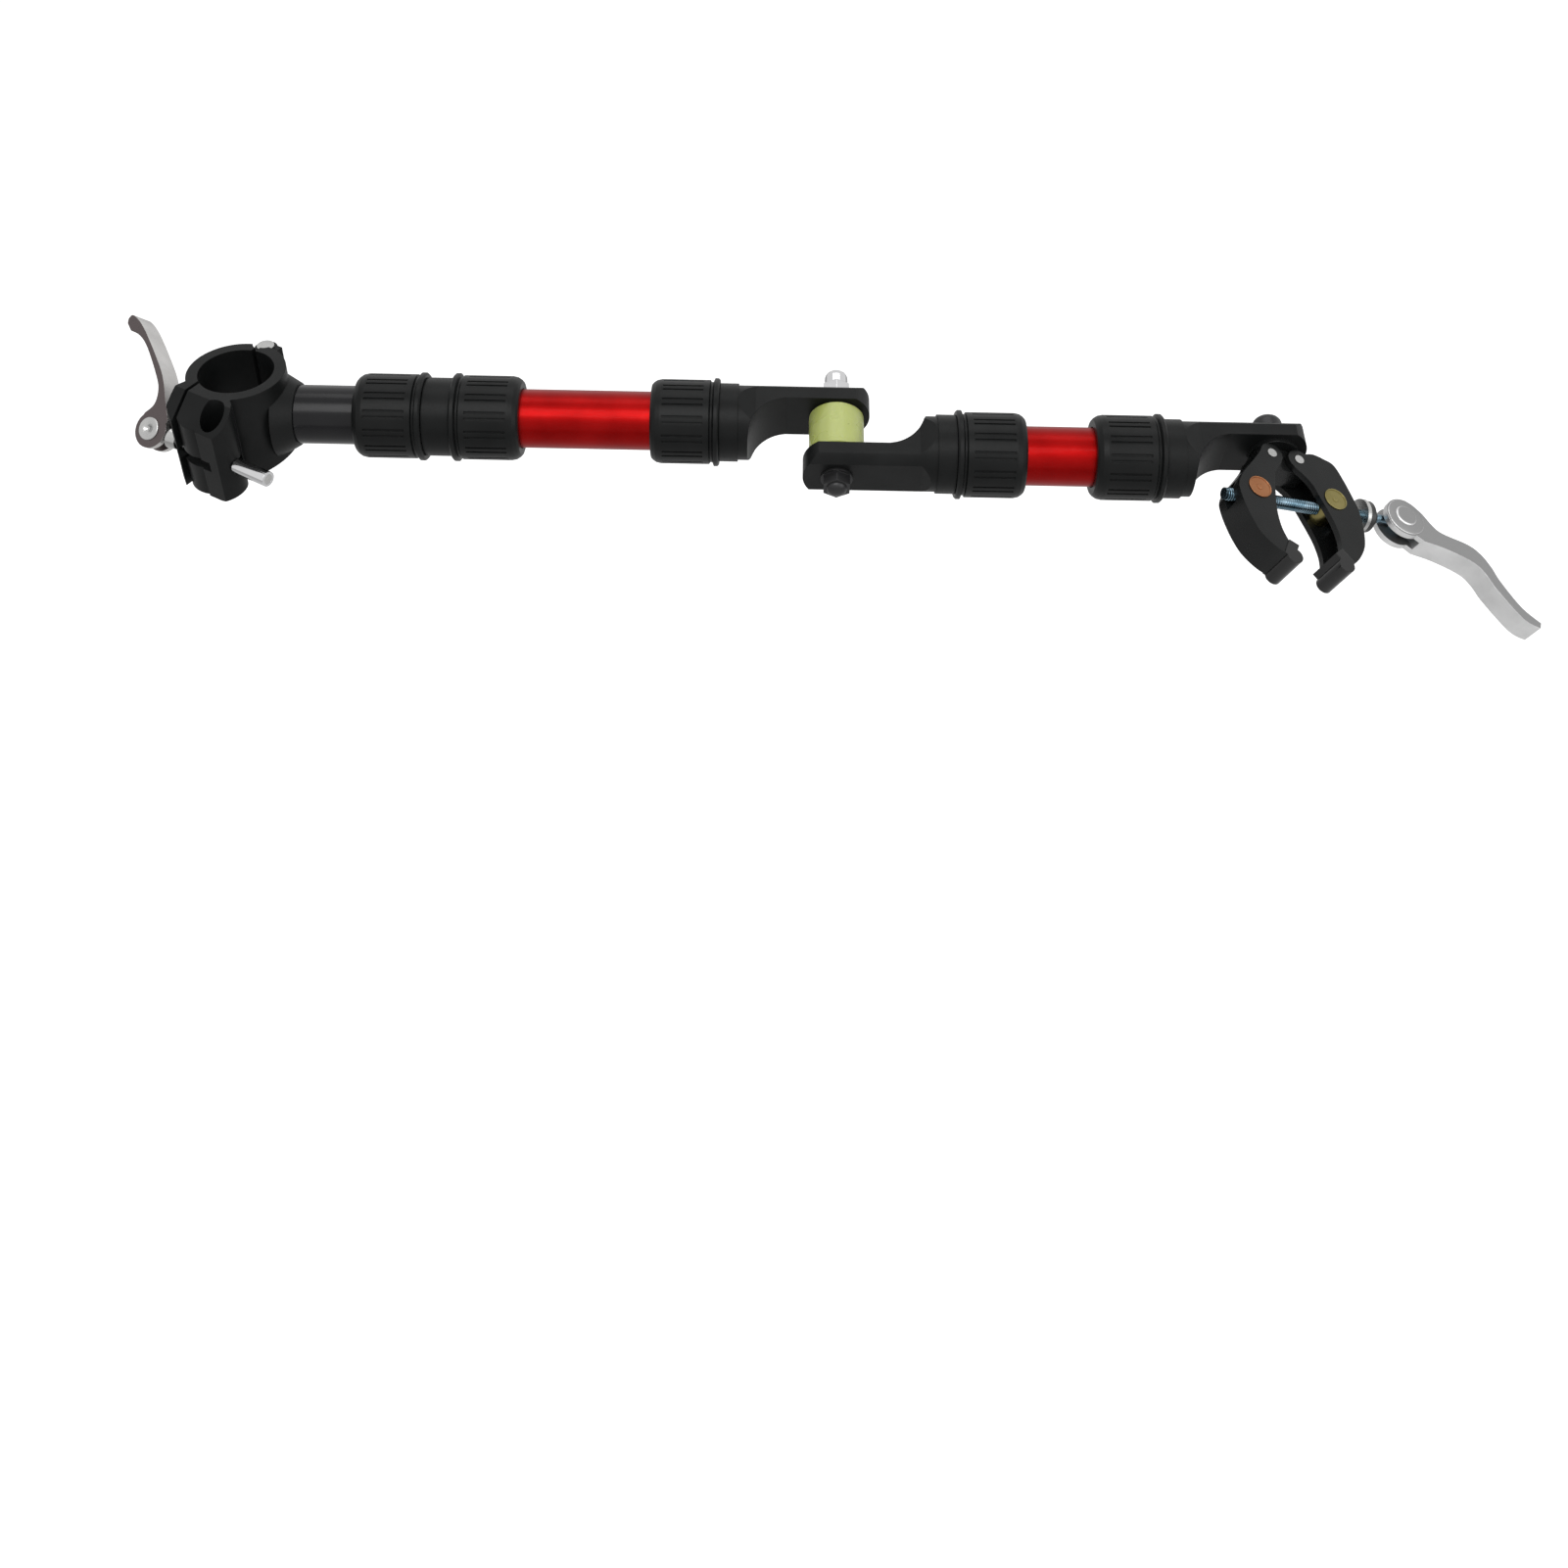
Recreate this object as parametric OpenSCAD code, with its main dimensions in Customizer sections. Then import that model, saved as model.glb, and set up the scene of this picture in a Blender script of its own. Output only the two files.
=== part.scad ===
// Bicycle tow bar: a quick release seatpost clamp, twist lock tubes, a cushioned hinge
// and a two jaw handle clamp.
// X runs along the bar, Z is the axis of the seatpost bore, and the origin is that bore's centre.

/* [Seatpost clamp] */
// Diameter of the seatpost bore
post_bore = 37.5; // [34:0.5:39]
// Wall of the clamp ring
ring_wall = 5.75; // [5:0.25:7]
// Height of the clamp ring
ring_h = 52; // [46:1:60]
// Turn of the clamp's split about the bore, from the bar
split_turn = -29.4; // [-35:0.2:-25]
// Distance of the skewer from the bore axis
skewer_out = 29; // [28:0.5:32]
// Distance along the skewer from the bore axis to the barrel
barrel_along = 11.5; // [10:0.5:13]
// Distance along the skewer from the bore axis to the lever pivot
lever_back = 33.5; // [32:0.5:37]
// Diameter of the skewer rod
skewer_d = 5; // [4.5:0.5:6]
// Depth of the skewer under the middle of the clamp ring
skewer_drop = 6; // [4:0.5:8]
// Diameter of the skewer barrel
barrel_d = 14; // [12:0.5:15]
// Gap between the two halves of the clamp
split_gap = 2; // [1:0.5:3]
// Diameter of the clamp hinge pin
hinge_pin_d = 6; // [5:0.5:7]
// Distance of the hinge pin from the bore axis
hinge_out = 26.4; // [26:0.2:28]

/* [Bar] */
// Outer diameter of the tubes
tube_d = 30; // [28:0.5:31]
// Wall of the tubes
tube_wall = 1.5; // [1:0.25:2.5]
// Radial play of parts that slide or turn in each other
fit_gap = 0.06; // [0.03:0.01:0.1]
// Height of the twist collars over the sleeves
collar_rise = 1.5; // [1.25:0.25:3]
// Length of a twist collar
collar_len = 34.5; // [32:0.5:38]
// Distance from the bore axis to the nose of the first collar
first_collar = 59; // [54:1:80]
// Bare length of the coupler between its two collars
coupler_bare = 14; // [10:1:30]
// Bare length of the first red tube
red_len_a = 66; // [60:1:120]
// Bare length of the second red tube
red_len_b = 34.5; // [32:0.5:90]
// Wall of the coupler and of the arm sleeves, with the collet inside
sleeve_wall = 5; // [4.75:0.25:5.25]
// Grip grooves around a collar
collar_grooves = 14; // [10:1:18]

/* [Arms and middle joint] */
// Roll of the joint bolt about the bar, from the seatpost axis
bar_roll = 75.5; // [0:0.5:90]
// Height of an arm's inner face over the bar axis
arm_in = 4.9; // [4:0.1:6]
// Height of an arm's outer face over the bar axis
arm_out = 15.9; // [15:0.1:17]
// Width of an arm
arm_w = 30; // [28:0.5:34]
// Distance from an arm's shoulder to the joint bolt
joint_reach = 50; // [48:0.5:60]
// Arm length beyond the bolt
arm_over = 17; // [16:0.5:22]
// Distance between the two bar axes at the joint
bar_step = 17.8; // [16:0.1:22]
// Diameter of the joint bolt and of the swivel bolt
bolt_d = 8; // [7:0.5:8]
// Diameter of the joint cushion
cushion_d = 28; // [24:0.5:30]

/* [Handle clamp] */
// Distance from the end arm's shoulder to the swivel bolt
swivel_reach = 48; // [44:0.5:55]
// Turn of the handle clamp about the swivel bolt
clamp_turn = 19; // [-30:1:30]
// Width of the jaws
jaw_w = 19; // [18:0.5:24]
// Wall of a jaw's cheek
cheek_wall = 3.3; // [2.5:0.1:4]
// Distance from the swivel axis to a jaw pin
jaw_pin_x = 7.8; // [7.6:0.1:9]
// Depth of the jaw pins under the bar axis
jaw_pin_drop = 4; // [3.5:0.1:6]
// Opening of the second jaw beyond the first
jaw_spread = 15; // [10:1:17]
// Diameter of the trunnions
trunnion_d = 12; // [11:0.5:13]
// Diameter of the clamp screw
screw_d = 6; // [5:0.5:6.5]
// Distance from the first trunnion to the lever pivot, along the screw
screw_reach = 88; // [84:1:100]

/* [Cam levers] */
// Radius of the first lever's cam
small_cam_r = 9.5; // [9:0.25:10.5]
// Radius of the second lever's cam
large_cam_r = 11; // [10:0.25:12]
// Diameter of the lever pivot pins
lever_pin_d = 6; // [5:0.5:7]
// Width of the levers
lever_w = 12; // [11:0.5:14]
// Turn of the first lever's plane about the skewer
small_lever_turn = 45; // [30:1:60]

/* [Hidden] */
$fn = 64;
bore_r = post_bore / 2;
ring_r = bore_r + ring_wall;
ring_top = ring_h / 2;
ear_wall = 3.2;
ear_slope = 12;
ear_foot = skewer_out + 8;
gate_ear_x = 7;
knuckle_r = hinge_pin_d / 2 + 2.9;
knuckle_h = ring_h * 0.27;
hinge_x = -5.5;
hinge_sink = 3;
hinge_top = ring_top - hinge_sink;
slit = 0.3;
pin_head_rise = 1.4;
pin_head_h = 1.5;
grip_r = 2.5;
grip_turn = 205;
grip_up = 7;
ear_boss_r = 15.5;
split_x = -9;
rod_r = skewer_d / 2;
barrel_r = barrel_d / 2 - 0.5;
saddle_h = 5.3;
saddle_r = 5.5;
tail_len = 20.5;
nut_x = barrel_along + barrel_r + ear_wall + slit;
tail_r = rod_r + 1.4;
tube_r = tube_d / 2;
sleeve_r = tube_r + sleeve_wall;
thread_r = sleeve_r - 1.5;
thread_len = 20;
collar_r = sleeve_r + collar_rise;
lip_rise = 1;
collet_len = 10;
collet_start = 3.2;
collet_wall = 1.7;
collet_rim = 2.9;
mouth_in = collar_len - thread_len;
collet_in = mouth_in - collet_start;
sleeve_bare = 9.5;
neck_x = ring_r + 4;
spigot_len = 26;
coupler_x = first_collar + collar_len;
second_lip = coupler_x + coupler_bare;
red_a_x = second_lip + collar_len;
third_nose = red_a_x + red_len_a;
shoulder_a = third_nose + collar_len + sleeve_bare;
joint_x = shoulder_a + joint_reach;
fourth_lip = joint_reach + sleeve_bare;
red_b_x = fourth_lip + collar_len;
fifth_nose = red_b_x + red_len_b;
shoulder_b = fifth_nose + collar_len + sleeve_bare;
swivel_x = shoulder_b + swivel_reach;
tube_grip = 32;
black_stop = 7.5;
red_stop = 9.5;
bolt_r = bolt_d / 2;
arm_r = sleeve_r - 0.95;
arm_floor = 2;
washer_t = 1.6;
washer_r = bolt_d;
nut_h = 7;
nut_across = 13;
jaw_drop = -jaw_pin_drop;
boss_r = 6;
jaw_pin_r = 2.5;
jaw_gap = jaw_w - 2 * cheek_wall;
block_w = jaw_gap - 0.5;
trunnion_r = trunnion_d / 2;
trunnion_in = [-11.1, -23.8];
screw_r = screw_d / 2;
nose_r = screw_r - 0.7;
screw_swing = 3.8;
pad_r = 4.2;
pad_w = jaw_w + 1;
lever_pin_r = lever_pin_d / 2;
fork_gap = lever_w / 2;
eye_w = fork_gap - 0.4;
cam_shift = 1;

// Point of a smooth curve through p1 and p2, with p0 and p3 beside them
function curve_point(p0, p1, p2, p3, t) =
    0.5 * (2 * p1 + (p2 - p0) * t + (2 * p0 - 5 * p1 + 4 * p2 - p3) * t * t
        + (3 * p1 - p0 - 3 * p2 + p3) * t * t * t);
// Smooth line through a list of points, with a number of steps between each two
function smooth(p, steps) = [
    for (i = [0 : len(p) - 2])
        for (k = [0 : steps - 1])
            curve_point(p[max(i - 1, 0)], p[i], p[i + 1], p[min(i + 2, len(p) - 1)], k / steps),
    p[len(p) - 1]
];
// All points of a list but the first
function without_first(p) = [for (i = [1 : len(p) - 1]) p[i]];
// Round outline from one angle down to another
function arc(centre, r, from, to) = [for (a = [from : -9 : to]) centre + r * [cos(a), sin(a)]];
// Point turned about the origin by an angle, counterclockwise
function turned(p, a) = [p[0] * cos(a) - p[1] * sin(a), p[0] * sin(a) + p[1] * cos(a)];

// Places of the two trunnions in the handle clamp's own plane
trunnion_1_at = [-jaw_pin_x + trunnion_in[0], jaw_drop + trunnion_in[1]];
trunnion_2_turned = turned([-trunnion_in[0], trunnion_in[1]], jaw_spread);
trunnion_2_at = [jaw_pin_x + trunnion_2_turned[0], jaw_drop + trunnion_2_turned[1]];
screw_tilt = atan2(trunnion_2_at[1] - trunnion_1_at[1], trunnion_2_at[0] - trunnion_1_at[0]);

module at_split() {
    rotate([0, 0, split_turn]) children();
}
module at_joint() {
    translate([joint_x, 0, 0]) rotate([-bar_roll, 0, 0]) children();
}
module at_low_bar() {
    at_joint() translate([0, 0, -bar_step]) children();
}
module at_swivel() {
    at_low_bar() translate([swivel_x, 0, 0]) rotate([0, 0, clamp_turn]) children();
}
module at_jaw(side) {
    translate([side * jaw_pin_x, 0, jaw_drop])
        rotate([0, side > 0 ? -jaw_spread : 0, 0])
            mirror([side > 0 ? 1 : 0, 0, 0]) children();
}
module at_screw() {
    at_swivel() translate([trunnion_1_at[0], 0, trunnion_1_at[1]]) rotate([0, -screw_tilt, 0]) children();
}
module at_skewer() {
    at_split() translate([0, -skewer_out, -skewer_drop]) children();
}
module rod_x(x0, x1, r) {
    translate([x0, 0, 0]) rotate([0, 90, 0]) cylinder(h = x1 - x0, r = r);
}
module pin_y(r, w) {
    rotate([90, 0, 0]) cylinder(h = w, r = r, center = true);
}
module plate_y(w) {
    rotate([90, 0, 0]) linear_extrude(w, center = true) children();
}
module hexagon(across, h) {
    rotate([0, 0, 30]) cylinder(h = h, d = across / cos(30), $fn = 6);
}

// Side outline of the clamp's ears, outward and up, sloping back to the rim
module ear_side() {
    polygon([
        [-bore_r, -ring_top], [-ear_foot, -ring_top], [-ear_foot, ring_top - ear_slope], [-ring_r, ring_top],
        [-bore_r, ring_top]
    ]);
}
module ear_block(x0, x1) {
    translate([x0, 0, 0]) rotate([90, 0, 90]) linear_extrude(x1 - x0) ear_side();
}
module ring(r) {
    cylinder(h = ring_h, r = r, center = true);
}
module hinge_axis() {
    translate([hinge_x, hinge_out, 0]) children();
}
module pin_head_pocket() {
    translate([0, 0, hinge_top]) cylinder(h = 2 * hinge_sink, r = hinge_pin_d / 2 + pin_head_rise + slit);
}
module skewer_slot(x0, x1, inner, outer) {
    reach = rod_r + slit;
    translate([x0, -skewer_out - outer, -skewer_drop - reach]) cube([x1 - x0, outer + inner, 2 * reach]);
}
module clamp_body() {
    half = 2 * ring_r;
    body_x = split_x + split_gap / 2;
    color([0.05, 0.05, 0.055])
    difference() {
        union() {
            at_split() {
                intersection() {
                    ring(ring_r);
                    union() {
                        translate([body_x, -half, -half]) cube([half, half, 2 * half]);
                        translate([hinge_x + 1, 0, -half]) cube([half, half, 2 * half]);
                    }
                }
                intersection() {
                    ear_block(body_x, 3 * ring_r);
                    union() {
                        translate([0, -ring_r + 3, 0]) ring(ear_boss_r);
                        translate([barrel_along, -skewer_out, 0]) ring(barrel_r + ear_wall);
                    }
                }
                translate([hinge_x + 1, bore_r + 1, -ring_top])
                    cube([knuckle_r, hinge_out + knuckle_r - bore_r - 2.5, hinge_top + ring_top]);
                hinge_axis() translate([0, 0, -ring_top]) cylinder(h = hinge_top + ring_top, r = knuckle_r);
            }
            translate([bore_r, 0, 0]) rotate([0, 90, 0])
                cylinder(h = neck_x - bore_r, r1 = tube_r + 7, r2 = tube_r + 1.2);
            rod_x(bore_r, neck_x + spigot_len, tube_r - tube_wall - fit_gap);
        }
        cylinder(h = 2 * ring_h, r = bore_r, center = true);
        at_split() {
            hinge_axis() {
                cylinder(h = ring_h - 2 * knuckle_h + 2 * slit, r = knuckle_r + slit, center = true);
                cylinder(h = 2 * ring_h, r = hinge_pin_d / 2, center = true);
                pin_head_pocket();
            }
            translate([hinge_x - knuckle_r - 2, -ring_r, -ring_h / 2 + knuckle_h - slit])
                cube([knuckle_r + 3, 2 * ring_r + 2, ring_h - 2 * knuckle_h + 2 * slit]);
            translate([barrel_along, -skewer_out, -skewer_drop - barrel_r - 2])
                cylinder(h = 2 * ring_h, r = barrel_r + fit_gap);
            skewer_slot(body_x - 1, barrel_along, rod_r + slit, 2 * ring_r);
            skewer_slot(barrel_along, 3 * ring_r, rod_r + 6, rod_r + slit);
        }
        translate([-6, 0, -ring_top]) rotate([0, -14, 0])
            translate([0, -2 * ring_r, -20]) cube([80, 4 * ring_r, 20]);
    }
}
module clamp_gate() {
    half = 2 * ring_r;
    gate_x = split_x - split_gap / 2;
    color([0.05, 0.05, 0.055])
    difference() {
        at_split() union() {
            intersection() {
                ring(ring_r);
                union() {
                    translate([gate_x - half, -half, -half]) cube([half, half, 2 * half]);
                    translate([hinge_x - 1 - half, 0, -half]) cube([half, half, 2 * half]);
                }
            }
            difference() {
                intersection() {
                    ear_block(gate_x - gate_ear_x, gate_x);
                    translate([barrel_along, -skewer_out, 0]) ring(barrel_along - gate_x + gate_ear_x);
                }
                translate([gate_x - gate_ear_x, -skewer_out - 3.5, -half]) rotate([0, 0, -124])
                    cube([half, half, 2 * half]);
            }
            translate([hinge_x - knuckle_r, bore_r + 1, -ring_top + knuckle_h])
                cube([knuckle_r - 1, hinge_out - bore_r - 1, ring_h - 2 * knuckle_h]);
            hinge_axis() cylinder(h = ring_h - 2 * knuckle_h, r = knuckle_r, center = true);
        }
        cylinder(h = 2 * ring_h, r = bore_r, center = true);
        at_split() {
            hinge_axis() {
                for (end = [-1, 1])
                    translate([0, 0, end * (ring_top - knuckle_h / 2 + 1)])
                        cylinder(h = knuckle_h + 2, r = knuckle_r + slit, center = true);
                cylinder(h = 2 * ring_h, r = hinge_pin_d / 2 + fit_gap, center = true);
                pin_head_pocket();
            }
            skewer_slot(gate_x - gate_ear_x - 1, gate_x + 1, rod_r + slit, 2 * ring_r);
            rotate([0, 0, grip_turn]) translate([0, 0, grip_up]) rod_x(0, 2 * ring_r, grip_r);
        }
    }
}
module hinge_pin() {
    color("silver") at_split() hinge_axis() {
        translate([0, 0, -ring_top - 1]) cylinder(h = hinge_top + ring_top + 2, r = hinge_pin_d / 2);
        for (end = [-ring_top - pin_head_h, hinge_top])
            translate([0, 0, end]) cylinder(h = pin_head_h, r = hinge_pin_d / 2 + pin_head_rise);
    }
}
module grip_screw() {
    color("silver") at_split() rotate([0, 0, grip_turn]) translate([0, 0, grip_up])
        rod_x(bore_r + slit, ring_r - 0.5, grip_r);
}
module skewer_rod() {
    color("silver") at_skewer() difference() {
        union() {
            rod_x(-lever_back, nut_x + tail_len, rod_r);
            translate([-lever_back, 0, 0]) rotate([small_lever_turn, 0, 0])
                cylinder(h = eye_w, r = lever_pin_r + 2, center = true);
        }
        translate([-lever_back, 0, 0]) rotate([small_lever_turn, 0, 0])
            cylinder(h = 2 * lever_w, r = lever_pin_r, center = true);
    }
}
module skewer_barrel() {
    color("silver") at_skewer() translate([barrel_along, 0, 0]) difference() {
        cylinder(h = 2 * barrel_r, r = barrel_r, center = true);
        rod_x(-2 * barrel_r, 2 * barrel_r, rod_r);
    }
}
module skewer_nut() {
    color("silver") at_skewer() difference() {
        rod_x(nut_x, nut_x + tail_len, tail_r);
        rod_x(0, 3 * lever_back, rod_r);
    }
}
module skewer_saddle() {
    saddle_x = split_x - split_gap / 2 - gate_ear_x - slit;
    color("silver") at_skewer() difference() {
        translate([saddle_x - saddle_h, 0, 0]) rotate([0, 90, 0])
            cylinder(h = saddle_h, r1 = saddle_r, r2 = saddle_r - 1);
        rod_x(-2 * lever_back, 0, rod_r);
    }
}

// Outlines of the first lever about its pivot, from the cam out to the tip and from the tip back
small_lever_out = [[-6.5, 6.6], [-3, 12.5], [-4.2, 19.9], [-8.9, 26.1], [-21.4, 37.6], [-29, 41.8],
    [-35.6, 42.4]];
small_lever_in = [[-39.4, 45.2], [-40, 48], [-37.5, 50.2], [-28.2, 46], [-11.6, 33.2], [-4, 25.9], [2, 17.5],
    [9, 7.4]];
small_fork_len = 40;
small_fork_up = 3.2;
module at_small_lever() {
    at_skewer() translate([-lever_back, 0, 0]) rotate([small_lever_turn, 0, 0]) children();
}
module small_lever() {
    color([0.25, 0.22, 0.21]) at_small_lever() difference() {
        linear_extrude(lever_w, center = true) polygon(concat(
            smooth(small_lever_out, 5),
            smooth(small_lever_in, 5),
            arc([cam_shift, 0], small_cam_r, 36, -216)));
        cylinder(h = 2 * lever_w, r = lever_pin_r + fit_gap, center = true);
        translate([lever_pin_r - small_fork_len, lever_pin_r + small_fork_up - small_fork_len, -fork_gap / 2])
            cube([1.5 * small_fork_len, small_fork_len, fork_gap]);
    }
}
module small_lever_pin() {
    color("silver") at_small_lever() cylinder(h = lever_w, r = lever_pin_r, center = true);
}

module black_tube() {
    color([0.04, 0.04, 0.045]) difference() {
        rod_x(neck_x, coupler_x - black_stop, tube_r);
        rod_x(neck_x - 1, coupler_x, tube_r - tube_wall);
    }
}
module red_tube(x0, x1) {
    color([0.72, 0.05, 0.07]) difference() {
        rod_x(x0, x1, tube_r);
        rod_x(x0 - 1, x1 + 1, tube_r - tube_wall);
    }
}
module red_tube_1() {
    red_tube(second_lip - red_stop, third_nose + tube_grip);
}
module red_tube_2() {
    at_low_bar() red_tube(fourth_lip + 0.5, fifth_nose + tube_grip);
}

// A sleeve's threaded end from its mouth at X = 0 back to X = thread_len, with a cone for the collet
module thread_end() {
    rotate([0, 90, 0]) difference() {
        cylinder(h = thread_len, r = thread_r);
        translate([0, 0, -0.01])
            cylinder(h = collet_len - collet_start + slit, r1 = tube_r + collet_wall + 0.2, r2 = tube_r + 0.5);
        for (groove = [2 : 3 : thread_len - 3])
            translate([0, 0, groove]) difference() {
                cylinder(h = 1.2, r = thread_r + 1);
                cylinder(h = 1.2, r = thread_r - 0.5);
            }
    }
}
// A collar lies along X from its nose at 0 to its lip
module twist_collar() {
    body_end = collar_len - 5;
    color([0.035, 0.035, 0.04]) rotate([0, 90, 0]) difference() {
        rotate_extrude() polygon([
            [tube_r + 0.4, 0], [collar_r - 2.6, 0], [collar_r - 1.6, 0.9], [collar_r - 0.5, 2.6], [collar_r, 5],
            [collar_r, body_end], [collar_r - 1, body_end + 0.6], [collar_r - 1, body_end + 1.6],
            [collar_r + lip_rise, body_end + 2.4], [collar_r + lip_rise, collar_len - 0.8],
            [collar_r + lip_rise - 0.8, collar_len], [thread_r + fit_gap, collar_len],
            [thread_r + fit_gap, mouth_in - 1.5], [tube_r + collet_rim, mouth_in - 1.5],
            [tube_r + collet_wall, collet_in - 0.3], [tube_r + 0.4, collet_in - 0.3]
        ]);
        for (turn = [0 : collar_grooves - 1])
            rotate([0, 0, turn * 360 / collar_grooves])
                for (side = [-1, 1])
                    translate([collar_r - 0.8, side * 1.6 - 0.6, 6]) cube([2, 1.2, collar_len - 14]);
    }
}
module collet() {
    color([0.16, 0.16, 0.17]) rotate([0, 90, 0]) difference() {
        rotate_extrude() polygon([
            [tube_r + fit_gap, 0], [tube_r + collet_wall, 0], [tube_r + collet_rim, collet_start - 1.2],
            [tube_r + collet_rim, collet_start - 0.2], [tube_r + collet_wall, collet_start - 0.2],
            [tube_r + 0.4, collet_len], [tube_r + fit_gap, collet_len]
        ]);
        translate([0, -1, -1]) cube([2 * tube_r, 2, collet_len + 2]);
    }
}
module facing_left(x) {
    translate([x, 0, 0]) mirror([1, 0, 0]) children();
}
module facing_right(x) {
    translate([x, 0, 0]) children();
}

module twist_collar_1() {
    facing_right(first_collar) twist_collar();
}
module twist_collar_2() {
    facing_left(red_a_x) twist_collar();
}
module twist_collar_3() {
    facing_right(third_nose) twist_collar();
}
module twist_collar_4() {
    at_low_bar() facing_left(red_b_x) twist_collar();
}
module twist_collar_5() {
    at_low_bar() facing_right(fifth_nose) twist_collar();
}
module collet_1() {
    facing_right(first_collar + collet_in) collet();
}
module collet_2() {
    facing_left(red_a_x - collet_in) collet();
}
module collet_3() {
    facing_right(third_nose + collet_in) collet();
}
module collet_4() {
    at_low_bar() facing_left(red_b_x - collet_in) collet();
}
module collet_5() {
    at_low_bar() facing_right(fifth_nose + collet_in) collet();
}
module coupler() {
    color([0.05, 0.05, 0.055]) difference() {
        union() {
            facing_right(coupler_x - thread_len) thread_end();
            facing_left(second_lip + thread_len) thread_end();
            rod_x(coupler_x + 0.2, second_lip - 0.2, sleeve_r);
            rod_x(coupler_x - 0.5, second_lip + 0.5, thread_r);
        }
        rod_x(0, 2 * second_lip, tube_r + fit_gap);
    }
}

// An arm from its shoulder at X = 0 to its eye, with its sleeve toward -X and its flat side up
module arm(reach, over) {
    back = sleeve_bare + thread_len;
    rise = arm_in + arm_r + 1;
    color([0.045, 0.045, 0.05]) difference() {
        union() {
            facing_right(-back) thread_end();
            rod_x(0.2 - sleeve_bare, 0, sleeve_r);
            rod_x(-sleeve_bare - 0.5, 1, thread_r);
            intersection() {
                rod_x(-0.01, reach + over, arm_r);
                plate_y(3 * arm_r) difference() {
                    polygon([
                        [-1, -arm_r], [rise * 0.95, -arm_r], [rise * 0.95, arm_in], [reach + over + 1, arm_in],
                        [reach + over + 1, arm_out], [arm_r * 0.42, arm_out], [3, arm_r], [-1, arm_r]
                    ]);
                    translate([rise + 0.5, -arm_r - 1]) scale([0.82, 1]) circle(r = rise);
                }
                linear_extrude(4 * arm_r, center = true) {
                    polygon([
                        [-1, -arm_r], [0, -arm_r], [9, -arm_w / 2], [reach, -arm_w / 2], [reach, arm_w / 2],
                        [9, arm_w / 2], [0, arm_r], [-1, arm_r]
                    ]);
                    intersection() {
                        translate([reach - 5, -arm_w / 2]) square([over + 5, arm_w]);
                        translate([reach + over - arm_w * 0.62, 0]) circle(r = arm_w * 0.62);
                    }
                }
            }
        }
        rod_x(-back - 1, -arm_floor, tube_r + fit_gap);
        translate([reach, 0, 0]) cylinder(h = 3 * arm_r, r = bolt_r + fit_gap);
    }
}
module upper_arm() {
    at_joint() translate([-joint_reach, 0, 0]) arm(joint_reach, arm_over);
}
module lower_arm() {
    at_low_bar() translate([joint_reach, 0, 0]) rotate([0, 180, 0]) arm(joint_reach, arm_over);
}
module end_arm() {
    at_low_bar() translate([shoulder_b, 0, 0]) arm(swivel_reach, arm_over);
}

// The joint's parts are stacked along its own Z axis
low_face = -bar_step - arm_in;
low_back = -bar_step - arm_out;
module joint_bolt() {
    color("silver") at_joint() translate([0, 0, low_back - nut_h + 1])
        cylinder(h = arm_out + washer_t + nut_h + 1.5 - low_back + nut_h - 1, r = bolt_r);
}
module joint_cushion() {
    r = cushion_d / 2;
    color([0.72, 0.8, 0.3]) at_joint() rotate_extrude() polygon([
        [bolt_r, low_face], [r - 1.5, low_face], [r, low_face + 1.5], [r, arm_in - 1.5], [r - 1.5, arm_in],
        [bolt_r, arm_in]
    ]);
}
module joint_washer() {
    color("silver") at_joint() difference() {
        translate([0, 0, arm_out]) cylinder(h = washer_t, r = washer_r);
        cylinder(h = 2 * arm_out, r = bolt_r);
    }
}
// A round head from Z = 0 with straight sides below its dome
module dome(r, side_h, dome_h) {
    rotate_extrude() polygon(concat([[0, 0], [r, 0]],
        [for (rise = [0 : 15 : 90]) [r * cos(rise), side_h + dome_h * sin(rise)]]));
}
module cap_nut(across, dome_r) {
    difference() {
        union() {
            hexagon(across, nut_h);
            translate([0, 0, 1]) dome(dome_r, nut_h + 4, 5);
        }
        translate([0, 0, -1]) cylinder(h = nut_h + 3.5, r = bolt_r);
    }
}
module joint_cap_nut() {
    color("silver") at_joint() translate([0, 0, arm_out + washer_t]) cap_nut(nut_across, 6);
}
module joint_lock_nut() {
    color([0.05, 0.05, 0.05]) at_joint() difference() {
        union() {
            translate([0, 0, low_back - 1.2]) cylinder(h = 1.2, r = washer_r);
            translate([0, 0, low_back - nut_h]) hexagon(nut_across, nut_h - 1);
        }
        translate([0, 0, 2 * low_back]) cylinder(h = -2 * low_back, r = bolt_r);
    }
}

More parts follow.
